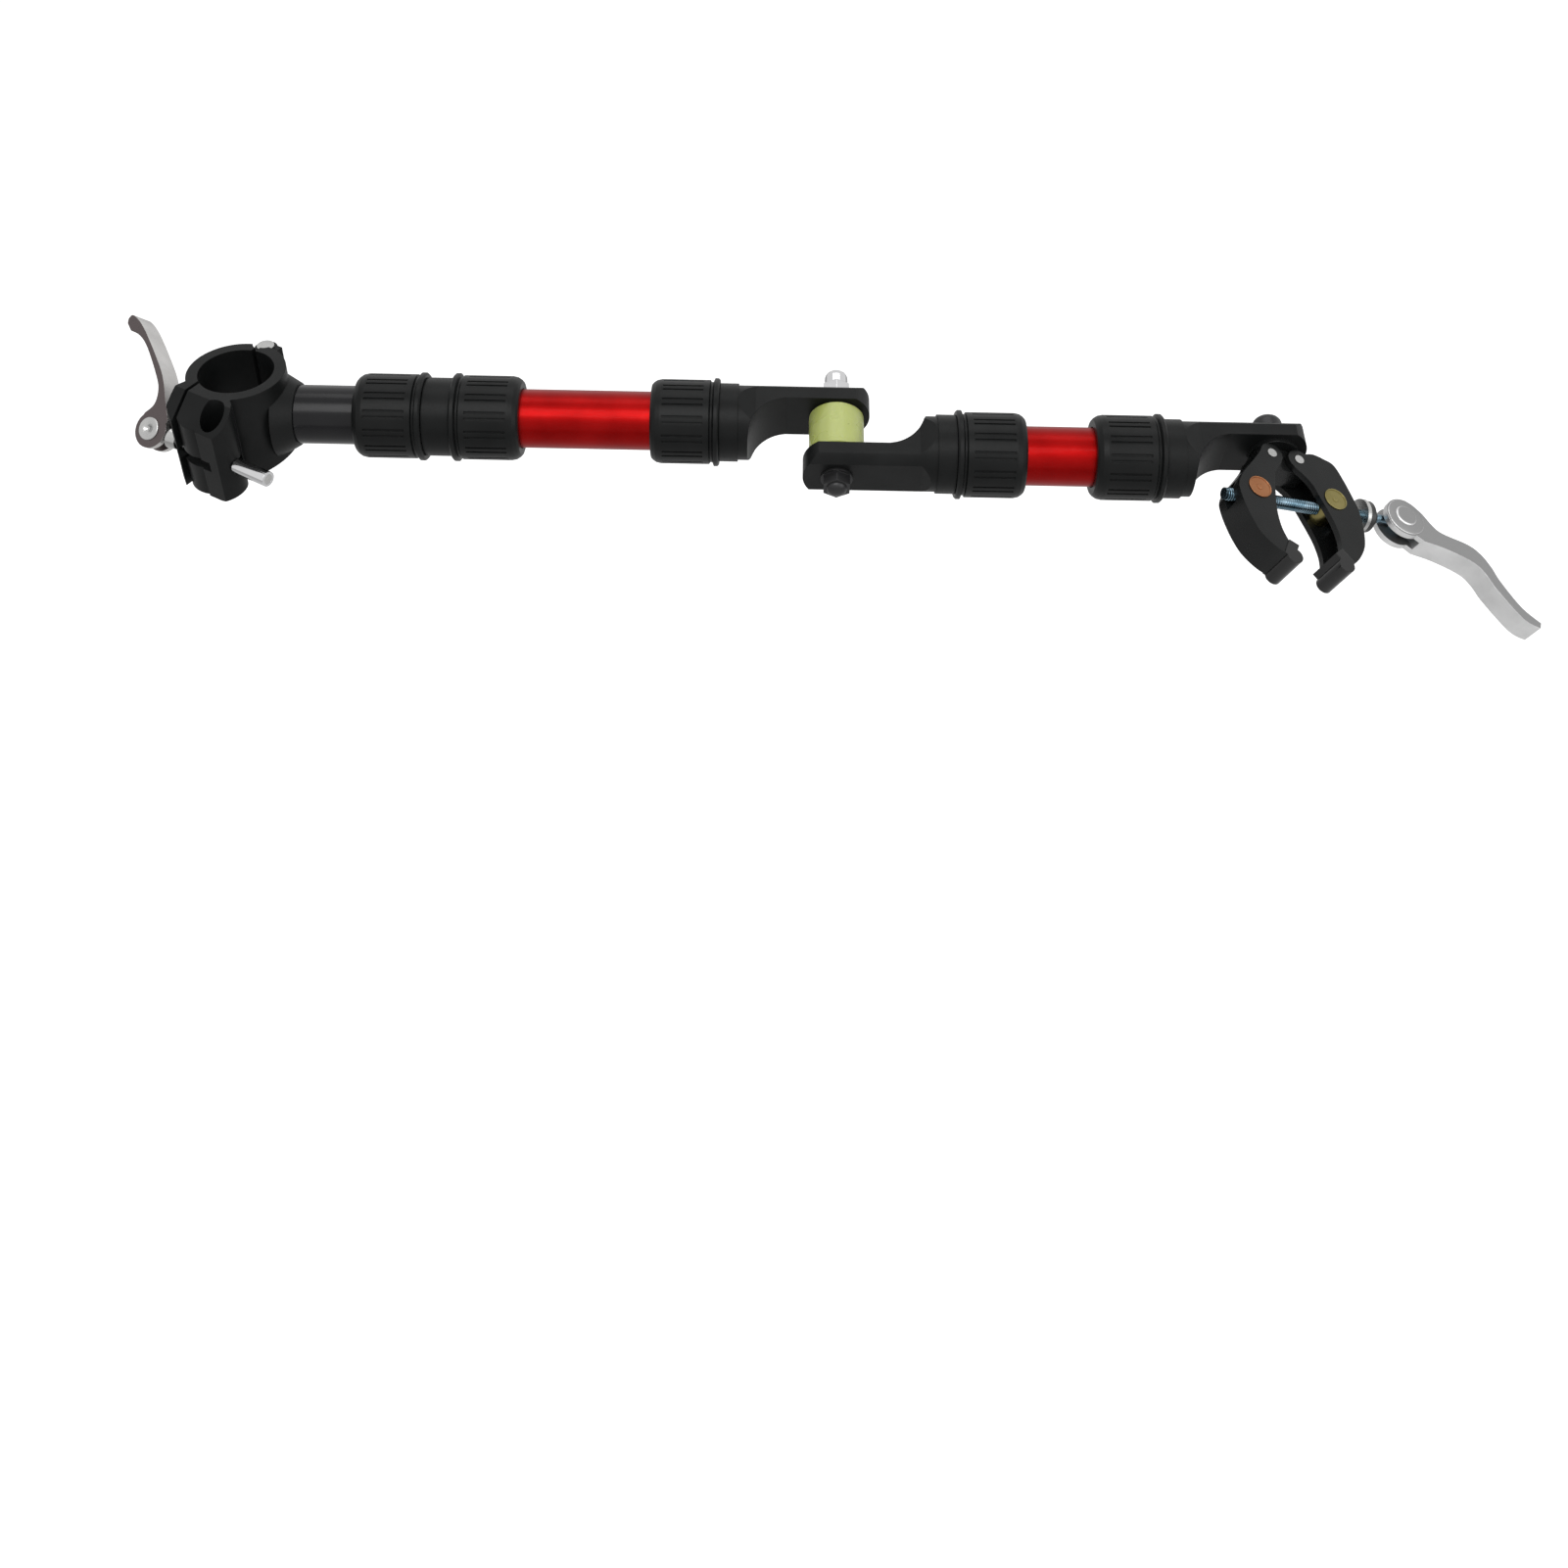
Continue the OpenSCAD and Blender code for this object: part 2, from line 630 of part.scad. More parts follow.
// The handle clamp's parts lie in their own plane, with the swivel at the origin and the jaws down
block_low = -10.5;
disc_h = 2.4;
disc_r = 12.5;
module swivel_bolt() {
    color([0.06, 0.06, 0.065]) at_swivel() {
        translate([0, 0, block_low + 3]) cylinder(h = arm_out + washer_t - block_low, r = bolt_r);
        translate([0, 0, arm_out + washer_t]) dome(7.5, 5, 5);
    }
}
module swivel_washer() {
    color("silver") at_swivel() difference() {
        translate([0, 0, arm_out]) cylinder(h = washer_t, r = washer_r + 0.5);
        cylinder(h = 2 * arm_out, r = bolt_r);
    }
}
module swivel_block() {
    color([0.06, 0.06, 0.065]) at_swivel() difference() {
        union() {
            translate([0, 0, arm_in - disc_h]) cylinder(h = disc_h, r = disc_r);
            plate_y(block_w) polygon([
                [-10, arm_in - 1], [10, arm_in - 1], [jaw_pin_x + boss_r, jaw_drop + 2],
                [jaw_pin_x + 5, block_low], [-jaw_pin_x - 5, block_low], [-jaw_pin_x - boss_r, jaw_drop + 2]
            ]);
        }
        translate([0, 0, block_low + 3]) cylinder(h = 4 * arm_out, r = bolt_r);
        for (side = [-1, 1])
            translate([side * jaw_pin_x, 0, jaw_drop]) pin_y(jaw_pin_r, 2 * jaw_w);
    }
}
module jaw_pin(side) {
    color("silver") at_swivel() translate([side * jaw_pin_x, 0, jaw_drop]) pin_y(jaw_pin_r, jaw_w + 1);
}
module jaw_pin_1() {
    jaw_pin(-1);
}
module jaw_pin_2() {
    jaw_pin(1);
}

// Outlines of the left jaw about its pin, from the pivot down to the tip
jaw_back = [[-22.6, -24], [-22.6, -30], [-21.2, -37], [-18.6, -45], [-14.6, -52.5], [-7.5, -59], [-0.4, -62.2]];
jaw_slim = [[-5.5, 2.4], [-7.5, -1.5], [-13, -9], [-19.2, -17]];
jaw_heel = [[-5.5, 3.4], [-10.5, 3.2], [-16, 0.2], [-20.4, -3.6], [-22, -13]];
function jaw_outer(side) = concat(side > 0 ? jaw_heel : jaw_slim, jaw_back);
jaw_inner = [[3.4, -61], [1.8, -57.8], [-0.6, -52.5], [-2.8, -46], [-3.6, -38], [-3.2, -31], [-2, -21],
    [-0.6, -13], [5, -4]];
jaw_web_in = [[3.4, -61], [2.5, -58.5], [-2, -54.5], [-9.4, -50], [-13.4, -43], [-16, -36], [-17.5, -30],
    [-17.3, -25], [-14.5, -19.5], [-9.8, -13.8]];
module jaw_side(side) {
    polygon(concat(smooth(jaw_outer(side), 5), smooth(jaw_inner, 5)));
}
module jaw_web(side) {
    intersection() {
        jaw_side(side);
        difference() {
            polygon(concat(smooth(without_first(jaw_outer(side)), 5), jaw_web_in));
            circle(r = block_w * 0.95);
        }
    }
}
module jaw(side) {
    color([0.05, 0.05, 0.055]) at_swivel() at_jaw(side) difference() {
        union() {
            for (cheek = [-1, 1])
                translate([0, cheek * (jaw_w - cheek_wall) / 2, 0]) {
                    plate_y(cheek_wall) jaw_side(side);
                    pin_y(boss_r, cheek_wall);
                }
            plate_y(jaw_w - 0.1) jaw_web(side);
        }
        pin_y(jaw_pin_r + fit_gap, 2 * jaw_w);
        translate([trunnion_in[0], 0, trunnion_in[1]]) pin_y(trunnion_r + fit_gap, 2 * jaw_w);
        translate([trunnion_in[0], 0, trunnion_in[1]])
            rotate([0, (side > 0 ? screw_tilt - jaw_spread : -screw_tilt) - 90, 0])
                translate([-screw_r - screw_swing, -screw_r - 1, 0])
                    cube([2 * (screw_r + screw_swing), 2 * screw_r + 2, 3 * jaw_w]);
    }
}
module jaw_1() {
    jaw(-1);
}
module jaw_2() {
    jaw(1);
}
module jaw_pad(side) {
    color([0.02, 0.02, 0.02]) at_swivel() at_jaw(side) difference() {
        translate([1.2, 0, -61.5]) rotate([0, 25, 0]) {
            pin_y(pad_r, pad_w);
            translate([-2.5, 0, 3]) cube([5.5, pad_w, 9], center = true);
        }
        plate_y(jaw_w) jaw_side(side);
    }
}
module jaw_pad_1() {
    jaw_pad(-1);
}
module jaw_pad_2() {
    jaw_pad(1);
}

// The clamping screw lies along X from the first trunnion
span = norm([trunnion_2_at[0] - trunnion_1_at[0], trunnion_2_at[1] - trunnion_1_at[1]]);
cone_len = 6.5;
bushing_x = span + 22;
thrust_r = 8.5;
screw_tail = 14.8;
module trunnion_1() {
    color([0.8, 0.45, 0.22]) at_screw() difference() {
        pin_y(trunnion_r, jaw_w + 0.4);
        rod_x(-2 * trunnion_r, 2 * trunnion_r, screw_r + 0.5);
    }
}
module trunnion_2() {
    color([0.8, 0.6, 0.2]) at_screw() translate([span, 0, 0]) difference() {
        pin_y(trunnion_r, jaw_w + 0.4);
        rod_x(-2 * trunnion_r, 2 * trunnion_r, screw_r + fit_gap);
    }
}
module at_large_lever() {
    at_screw() translate([screw_reach, 0, 0]) rotate([90, 0, 0]) children();
}
module clamp_screw() {
    color([0.62, 0.66, 0.72]) at_screw() difference() {
        union() {
            rod_x(-screw_tail, bushing_x, screw_r);
            rod_x(bushing_x, screw_reach, nose_r);
            translate([screw_reach, 0, 0]) pin_y(lever_pin_r + 2, eye_w);
        }
        translate([screw_reach, 0, 0]) pin_y(lever_pin_r, 2 * lever_w);
    }
}
module thrust_washer() {
    color("silver") at_screw() difference() {
        rod_x(bushing_x - 2, bushing_x, thrust_r);
        rod_x(0, screw_reach, screw_r);
    }
}
module cone_bushing() {
    color([0.03, 0.03, 0.03]) at_screw() difference() {
        translate([bushing_x, 0, 0]) rotate([0, 90, 0]) {
            cylinder(h = 3, r = thrust_r - 0.5);
            translate([0, 0, 3]) cylinder(h = cone_len - 3, r1 = thrust_r - 1.5, r2 = nose_r + 2);
        }
        rod_x(0, screw_reach, nose_r);
    }
}
// Outlines of the second lever about its pivot, from the cam out to the tip and from the tip back
large_lever_out = [[6, 8], [11, 3.2], [15.2, -3.4], [20, -7.6], [34, -12], [40.4, -16.8], [44.4, -24],
    [47, -32], [54.6, -46], [63.5, -54]];
large_lever_in = [[62, -57], [53.4, -53], [43, -37.6], [39.2, -28.8], [34, -22.8], [20, -17.2], [7, -14.4]];
large_fork_len = 60;
module large_lever() {
    color([0.75, 0.75, 0.76]) at_large_lever() difference() {
        linear_extrude(lever_w, center = true) polygon(concat(
            smooth(large_lever_out, 5),
            smooth(large_lever_in, 5),
            arc([0, -cam_shift], large_cam_r, 288, 72)));
        cylinder(h = 2 * lever_w, r = lever_pin_r + fit_gap, center = true);
        translate([lever_pin_r + small_fork_up - large_fork_len, -2 * lever_w, -fork_gap / 2])
            cube([large_fork_len, 4 * lever_w, fork_gap]);
    }
}
module large_lever_pin() {
    color("silver") at_large_lever() cylinder(h = lever_w, r = lever_pin_r, center = true);
}

clamp_body();
clamp_gate();
hinge_pin();
grip_screw();
skewer_rod();
skewer_barrel();
skewer_nut();
skewer_saddle();
small_lever();
small_lever_pin();
black_tube();
coupler();
twist_collar_1();
twist_collar_2();
twist_collar_3();
twist_collar_4();
twist_collar_5();
collet_1();
collet_2();
collet_3();
collet_4();
collet_5();
red_tube_1();
red_tube_2();
upper_arm();
lower_arm();
end_arm();
joint_bolt();
joint_cushion();
joint_washer();
joint_cap_nut();
joint_lock_nut();
swivel_bolt();
swivel_washer();
swivel_block();
jaw_pin_1();
jaw_pin_2();
jaw_1();
jaw_2();
jaw_pad_1();
jaw_pad_2();
trunnion_1();
trunnion_2();
clamp_screw();
thrust_washer();
cone_bushing();
large_lever();
large_lever_pin();
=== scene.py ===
"""Looks of the tow bar: materials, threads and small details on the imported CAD, with camera and studio."""

import math

import bmesh
import bpy
from mathutils import Matrix, Vector


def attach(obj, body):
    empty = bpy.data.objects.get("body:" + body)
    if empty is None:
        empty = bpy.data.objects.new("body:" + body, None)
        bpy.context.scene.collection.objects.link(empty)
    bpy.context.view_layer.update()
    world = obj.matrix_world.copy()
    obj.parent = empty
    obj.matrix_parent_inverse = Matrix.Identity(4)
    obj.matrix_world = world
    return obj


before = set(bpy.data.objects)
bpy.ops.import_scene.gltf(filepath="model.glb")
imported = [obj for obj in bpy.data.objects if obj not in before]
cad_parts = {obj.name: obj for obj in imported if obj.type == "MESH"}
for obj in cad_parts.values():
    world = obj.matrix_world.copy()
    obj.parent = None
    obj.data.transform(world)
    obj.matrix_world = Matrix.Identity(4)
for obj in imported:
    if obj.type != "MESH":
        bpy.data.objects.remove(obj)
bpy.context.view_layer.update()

MM = 0.001

# Frames of the bar, as the part's source has them, in degrees and millimetres
BAR_ROLL = 75.5
CLAMP_TURN = 19.0
SPLIT_TURN = -29.4
SKEWER_OUT = 29.0
SKEWER_DROP = 6.0
LEVER_BACK = 33.5
SMALL_LEVER_TURN = 45.0
JOINT_X = 302.0
SWIVEL_X = 220.5
BAR_STEP = 17.8
JAW_PIN = (7.8, -4.0)
JAW_SPREAD = 15.0
TRUNNION_IN = (-11.1, -23.8)
SCREW_REACH = 88.0
LEVER_W = 12.0
JAW_W = 19.0
LOWER_ARM_OUT = 33.7
NUT_H = 7.0

# The clamp screw's thread, in millimetres along the screw from the first trunnion, and past the second one
THREAD_START = -14.6
THREAD_PAST = 19.5
THREAD_ROOT = 2.9
THREAD_CREST = 3.35
THREAD_PITCH = 1.25
THREAD_STEPS = 20

# Turned details: the trunnions stand proud of the jaws by half of PIN_PROUD on each side
PIN_PROUD = 0.4
EYE_DROP = 1.0
BUTTON_DROP = 0.5
WELD = 1e-7

# Camera of the photograph: it looks down on the bar, with the optical axis above the frame's centre
CAMERA_DOWN = 37.5
CAMERA_ROLL = 1.13
CAMERA_DISTANCE = 875.0
CAMERA_X = 274.2
CAMERA_UP = -8.8
FOCAL_PX = 1750.0
FRAME_PX = 1601.0
AXIS_PX = (798.0, 450.0)

# Studio, in metres
FLOOR_Z = -0.52
FLOOR_HALF = 4.0
FLOOR_COLOUR = (0.93, 0.93, 0.93)
FLOOR_GLOW = 0.56
WORLD_LEVEL = 0.45


# Materials


def new_material(name):
    mat = bpy.data.materials.new(name)
    mat.use_nodes = True
    nodes = mat.node_tree.nodes
    return mat, nodes, mat.node_tree.links, nodes["Principled BSDF"]


def noise(nodes, links, coords, scale, detail=4.0, roughness=0.5):
    tex = nodes.new("ShaderNodeTexNoise")
    tex.inputs["Scale"].default_value = scale
    tex.inputs["Detail"].default_value = detail
    tex.inputs["Roughness"].default_value = roughness
    links.new(coords, tex.inputs["Vector"])
    return tex.outputs["Fac"]


def ranged(nodes, links, value, low, high):
    """The middle of the noise, from 0.3 to 0.7, spread over low to high."""
    span = nodes.new("ShaderNodeMapRange")
    span.inputs["From Min"].default_value = 0.3
    span.inputs["From Max"].default_value = 0.7
    span.inputs["To Min"].default_value = low
    span.inputs["To Max"].default_value = high
    links.new(value, span.inputs["Value"])
    return span.outputs["Result"]


def colour_mix(nodes, links, factor, first, second):
    """The first colour where the factor is zero, and the second where it is one; each is a colour or an output."""
    mix = nodes.new("ShaderNodeMix")
    mix.data_type = "RGBA"
    links.new(factor, mix.inputs["Factor"])
    for socket, colour in ((mix.inputs["A"], first), (mix.inputs["B"], second)):
        if isinstance(colour, bpy.types.NodeSocket):
            links.new(colour, socket)
        else:
            socket.default_value = (*colour, 1)
    return mix.outputs["Result"]


def shaded_side_mask(nodes, links, axis):
    """Mask of painted shade: one on faces that look along the axis in the object's own space, and zero on faces
    across it.
    """
    normal = nodes.new("ShaderNodeTexCoord").outputs["Normal"]
    along = nodes.new("ShaderNodeVectorMath")
    along.operation = "DOT_PRODUCT"
    along.inputs[1].default_value = axis
    links.new(normal, along.inputs[0])
    size = nodes.new("ShaderNodeMath")
    size.operation = "ABSOLUTE"
    links.new(along.outputs["Value"], size.inputs[0])
    step = nodes.new("ShaderNodeMapRange")
    step.inputs["From Min"].default_value = 0.75
    step.inputs["From Max"].default_value = 0.95
    links.new(size.outputs[0], step.inputs["Value"])
    return step.outputs["Result"]


def surface(
    name,
    colour,
    second,
    metallic=0.0,
    roughness=(0.35, 0.45),
    cloud=60.0,
    grain=900.0,
    bump=0.00002,
    edge=0.0004,
    coat=0.0,
    specular=0.5,
    stretch=(1.0, 1.0, 1.0),
    shaded_side_axis=None,
    painted_shade_colour=None,
):
    """A material with two colours that drift into each other, uneven gloss, fine grain and soft edges.

    Faces that look along the given side axis, in the object's own space, take the side colour instead, which
    paints shade on a lever's flat sides.
    """
    mat, nodes, links, bsdf = new_material(name)
    place = nodes.new("ShaderNodeTexCoord").outputs["Object"]
    mapping = nodes.new("ShaderNodeMapping")
    mapping.inputs["Scale"].default_value = stretch
    links.new(place, mapping.inputs["Vector"])
    drift = noise(nodes, links, place, cloud)
    fine = noise(nodes, links, mapping.outputs["Vector"], grain, 3.0, 0.6)

    paint = colour_mix(nodes, links, ranged(nodes, links, drift, 0.0, 1.0), colour, second)
    if shaded_side_axis is not None:
        # painted shade: faces along the side axis take the darker side colour
        paint = colour_mix(nodes, links, shaded_side_mask(nodes, links, shaded_side_axis), paint, painted_shade_colour)
    links.new(paint, bsdf.inputs["Base Color"])
    links.new(ranged(nodes, links, fine, *roughness), bsdf.inputs["Roughness"])

    round_edge = nodes.new("ShaderNodeBevel")
    round_edge.samples = 4
    round_edge.inputs["Radius"].default_value = edge
    relief = nodes.new("ShaderNodeBump")
    relief.inputs["Distance"].default_value = bump
    relief.inputs["Strength"].default_value = 1.0
    links.new(fine, relief.inputs["Height"])
    links.new(round_edge.outputs["Normal"], relief.inputs["Normal"])
    links.new(relief.outputs["Normal"], bsdf.inputs["Normal"])

    bsdf.inputs["Metallic"].default_value = metallic
    bsdf.inputs["Specular IOR Level"].default_value = specular
    bsdf.inputs["Coat Weight"].default_value = coat
    bsdf.inputs["Coat Roughness"].default_value = 0.08
    return mat


def elastomer():
    """Translucent yellow-green rubber with a faint cloudiness."""
    mat, nodes, links, bsdf = new_material("elastomer")
    place = nodes.new("ShaderNodeTexCoord").outputs["Object"]
    cloudy = noise(nodes, links, place, 60.0, 2.0)
    depth = ranged(nodes, links, cloudy, 0.0, 1.0)
    paint = colour_mix(nodes, links, depth, (0.485, 0.545, 0.16), (0.545, 0.605, 0.21))
    links.new(paint, bsdf.inputs["Base Color"])
    links.new(ranged(nodes, links, cloudy, 0.22, 0.34), bsdf.inputs["Roughness"])
    relief = nodes.new("ShaderNodeBump")
    relief.inputs["Distance"].default_value = 0.00001
    links.new(noise(nodes, links, place, 400.0, 2.0), relief.inputs["Height"])
    links.new(relief.outputs["Normal"], bsdf.inputs["Normal"])
    bsdf.inputs["Transmission Weight"].default_value = 0.15
    bsdf.inputs["Subsurface Weight"].default_value = 0.4
    bsdf.inputs["Subsurface Radius"].default_value = (0.9, 1.0, 0.3)
    bsdf.inputs["Subsurface Scale"].default_value = 0.004
    bsdf.inputs["IOR"].default_value = 1.45
    return mat


black_cast = surface(
    "black_cast", (0.0045, 0.005, 0.005), (0.0085, 0.009, 0.009), roughness=(0.34, 0.48), grain=1400,
    bump=0.00002, specular=0.13,
)
collar_plastic = surface(
    "collar_plastic", (0.0045, 0.005, 0.005), (0.0085, 0.009, 0.009), roughness=(0.30, 0.42), grain=1800,
    edge=0.0005, specular=0.13,
)
collet_plastic = surface("collet_plastic", (0.05, 0.05, 0.055), (0.07, 0.07, 0.075), roughness=(0.4, 0.5))
black_gloss = surface(
    "black_gloss", (0.005, 0.005, 0.006), (0.008, 0.008, 0.009), roughness=(0.18, 0.26), grain=300,
    bump=0.000006, coat=0.05, specular=0.2, stretch=(0.1, 1.0, 1.0),
)
red_gloss = surface(
    "red_gloss", (0.23, 0.0022, 0.0022), (0.30, 0.004, 0.004), metallic=1.0, roughness=(0.34, 0.44), grain=300,
    bump=0.000006, coat=0.05, stretch=(0.1, 1.0, 1.0),
)
jaw_black = surface(
    "jaw_black", (0.005, 0.0055, 0.0055), (0.009, 0.0095, 0.0095), roughness=(0.20, 0.32), grain=1200,
    bump=0.000006, specular=0.2,
)
pad_black = surface(
    "pad_black", (0.005, 0.005, 0.005), (0.009, 0.009, 0.009), roughness=(0.12, 0.20), coat=0.15, specular=0.3
)
bushing_black = surface("bushing_black", (0.010, 0.010, 0.010), (0.020, 0.020, 0.020), roughness=(0.30, 0.42))
hardware_black = surface(
    "hardware_black", (0.020, 0.020, 0.021), (0.035, 0.035, 0.036), metallic=0.6, roughness=(0.28, 0.40),
    grain=1500,
)
steel = surface(
    "steel", (0.40, 0.40, 0.395), (0.52, 0.52, 0.51), metallic=1.0, roughness=(0.20, 0.32), grain=1300,
    bump=0.00001, edge=0.0003,
)
chrome = surface(
    "chrome", (0.56, 0.56, 0.565), (0.66, 0.66, 0.67), metallic=1.0, roughness=(0.06, 0.12), grain=600,
    bump=0.000004,
)
zinc_blue = surface(
    "zinc_blue", (0.06, 0.12, 0.16), (0.24, 0.33, 0.39), metallic=1.0, roughness=(0.20, 0.30), cloud=150.0,
    bump=0.000008, edge=0.0002,
)
copper = surface(
    "copper", (0.30, 0.125, 0.055), (0.38, 0.18, 0.09), metallic=1.0, roughness=(0.26, 0.38), bump=0.000008
)
brass = surface(
    "brass", (0.20, 0.17, 0.06), (0.28, 0.24, 0.10), metallic=1.0, roughness=(0.26, 0.38), bump=0.000008
)
cushion_rubber = elastomer()


# Places


def turn(axis, degrees):
    return Matrix.Rotation(math.radians(degrees), 4, axis)


def shift(x, y, z):
    return Matrix.Translation(Vector((x, y, z)) * MM)


at_split = turn("Z", SPLIT_TURN)
at_skewer = at_split @ shift(0, -SKEWER_OUT, -SKEWER_DROP)
at_small_lever = at_skewer @ shift(-LEVER_BACK, 0, 0) @ turn("X", SMALL_LEVER_TURN)
at_joint = shift(JOINT_X, 0, 0) @ turn("X", -BAR_ROLL)
at_low_bar = at_joint @ shift(0, 0, -BAR_STEP)
at_swivel = at_low_bar @ shift(SWIVEL_X, 0, 0) @ turn("Z", CLAMP_TURN)

spread = math.radians(JAW_SPREAD)
trunnion_1 = (-JAW_PIN[0] + TRUNNION_IN[0], JAW_PIN[1] + TRUNNION_IN[1])
trunnion_2 = (
    JAW_PIN[0] - TRUNNION_IN[0] * math.cos(spread) - TRUNNION_IN[1] * math.sin(spread),
    JAW_PIN[1] - TRUNNION_IN[0] * math.sin(spread) + TRUNNION_IN[1] * math.cos(spread),
)
span = math.dist(trunnion_1, trunnion_2)
screw_tilt = math.degrees(math.atan2(trunnion_2[1] - trunnion_1[1], trunnion_2[0] - trunnion_1[0]))
at_screw = at_swivel @ shift(trunnion_1[0], 0, trunnion_1[1]) @ turn("Y", -screw_tilt)
at_large_lever = at_screw @ shift(SCREW_REACH, 0, 0) @ turn("X", 90)


# Finishes of the CAD nodes; the levers' flat sides are painted darker than their edges, as painted shade

dark_cast = surface(
    "dark_cast", (0.50, 0.49, 0.48), (0.64, 0.63, 0.62), metallic=0.9, roughness=(0.26, 0.40), grain=1100,
    bump=0.00001, shaded_side_axis=at_small_lever.to_3x3().col[2], painted_shade_colour=(0.105, 0.088, 0.088),
)
light_cast = surface(
    "light_cast", (0.60, 0.60, 0.60), (0.74, 0.74, 0.74), metallic=0.9, roughness=(0.30, 0.44), grain=1500,
    bump=0.00001, shaded_side_axis=at_large_lever.to_3x3().col[2], painted_shade_colour=(0.28, 0.28, 0.28),
)

MATERIALS = {
    black_cast: ["clamp_body", "clamp_gate", "coupler", "upper_arm", "lower_arm", "end_arm"],
    collar_plastic: ["twist_collar_1", "twist_collar_2", "twist_collar_3", "twist_collar_4", "twist_collar_5"],
    collet_plastic: ["collet_1", "collet_2", "collet_3", "collet_4", "collet_5"],
    black_gloss: ["black_tube"],
    red_gloss: ["red_tube_1", "red_tube_2"],
    jaw_black: ["jaw_1", "jaw_2", "swivel_block"],
    pad_black: ["jaw_pad_1", "jaw_pad_2"],
    bushing_black: ["cone_bushing"],
    hardware_black: ["joint_lock_nut", "swivel_bolt"],
    steel: [
        "hinge_pin",
        "grip_screw",
        "skewer_rod",
        "skewer_barrel",
        "skewer_saddle",
        "small_lever_pin",
        "joint_bolt",
        "joint_washer",
        "swivel_washer",
        "jaw_pin_1",
        "jaw_pin_2",
        "thrust_washer",
        "large_lever_pin",
    ],
    chrome: ["joint_cap_nut", "skewer_nut"],
    zinc_blue: ["clamp_screw"],
    copper: ["trunnion_1"],
    brass: ["trunnion_2"],
    dark_cast: ["small_lever"],
    light_cast: ["large_lever"],
    cushion_rubber: ["joint_cushion"],
}
for material, names in MATERIALS.items():
    for name in names:
        for part_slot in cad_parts[name].material_slots:
            part_slot.material = material


# Details


def closed_mesh(name, verts, faces):
    data = bpy.data.meshes.new(name)
    data.from_pydata(verts, [], faces)
    work = bmesh.new()
    work.from_mesh(data)
    bmesh.ops.remove_doubles(work, verts=work.verts, dist=WELD)
    bmesh.ops.recalc_face_normals(work, faces=work.faces)
    work.to_mesh(data)
    work.free()
    return data


def on_circle(x, r, angle):
    """Point round the X axis, from millimetres to metres."""
    return (x * MM, r * math.cos(angle) * MM, r * math.sin(angle) * MM)


def revolved(name, profile, steps=64):
    """Mesh turned about X from (x, radius) points in millimetres; a closed profile gives a closed ring."""
    verts = []
    faces = []
    count = len(profile)
    for step in range(steps):
        angle = 2 * math.pi * step / steps
        verts.extend(on_circle(x, r, angle) for x, r in profile)
        here = step * count
        there = ((step + 1) % steps) * count
        for i in range(count):
            j = (i + 1) % count
            faces.append((here + i, there + i, there + j, here + j))
    data = closed_mesh(name, verts, faces)
    data.shade_smooth()
    return data


def thread(name, x0, x1):
    """Mesh of one helical ridge about X, from x0 to x1 in millimetres, fading in and out over one turn.

    Each step along the helix has four points: a root, the two sides of the flat crest, and a root.
    """
    verts = []
    faces = []
    total = int((x1 - x0 - THREAD_PITCH) / THREAD_PITCH * THREAD_STEPS)
    for k in range(total + 1):
        angle = 2 * math.pi * k / THREAD_STEPS
        x = x0 + THREAD_PITCH * k / THREAD_STEPS
        fade = min(1.0, k / THREAD_STEPS, (total - k) / THREAD_STEPS)
        top = THREAD_ROOT + (THREAD_CREST - THREAD_ROOT) * fade
        for dx, r in ((0.05, THREAD_ROOT), (0.42, top), (0.58, top), (0.95, THREAD_ROOT)):
            verts.append(on_circle(x + dx * THREAD_PITCH, r, angle))
    for k in range(total):
        for i in range(4):
            j = (i + 1) % 4
            faces.append((4 * k + i, 4 * k + 4 + i, 4 * k + 4 + j, 4 * k + j))
    faces.append((0, 1, 2, 3))
    faces.append((4 * total + 3, 4 * total + 2, 4 * total + 1, 4 * total))
    return closed_mesh(name, verts, faces)


def add_piece(data, body, material, place):
    """Object of the mesh's own name, put in place, riding on a body and taking its finish from a slot."""
    piece = bpy.data.objects.new(data.name, data)
    bpy.context.scene.collection.objects.link(piece)
    data.transform(place)
    data.materials.append(material)
    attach(piece, body)


def both_faces(width):
    """Number and place of the two sides of a lever or jaw, each with X outward along the plane's own Z."""
    return ((1, shift(0, 0, width / 2) @ turn("Y", -90)), (2, shift(0, 0, -width / 2) @ turn("Y", 90)))


# Closed outlines of turned details, as height over the face and radius
BARREL_HEAD = (
    (-0.2, 0), (-0.2, 6.0), (0.45, 6.0), (0.75, 5.7), (0.8, 5.0), (0.55, 4.3), (0.6, 1.4), (0.1, 1.2), (0.1, 0),
)
EYE_DISC = ((-0.2, 0), (-0.2, 10.3), (0.4, 10.3), (0.6, 10.0), (0.6, 0))
BUTTON = ((0.4, 0), (0.4, 5.9), (0.8, 5.8), (1.3, 5.3), (1.5, 4.4), (1.45, 2.2), (1.25, 0))
PIN_RING = ((-0.1, 6.1), (0.35, 6.1), (0.35, 5.75), (0.25, 5.5), (-0.1, 5.5))
NUT_DOME = ((-1.0, 0), (-1.0, 5.3), (0.0, 5.3), (1.1, 4.9), (2.1, 3.9), (2.8, 2.3), (3.1, 0))
CENTRE_MARK = ((-0.1, 0), (-0.1, 1.7), (0.25, 1.6), (0.3, 1.2), (0.1, 0.9), (0.1, 0))

screw_thread = thread("clamp_screw_thread", THREAD_START, span + THREAD_PAST)
add_piece(screw_thread, "clamp_screw", zinc_blue, at_screw)

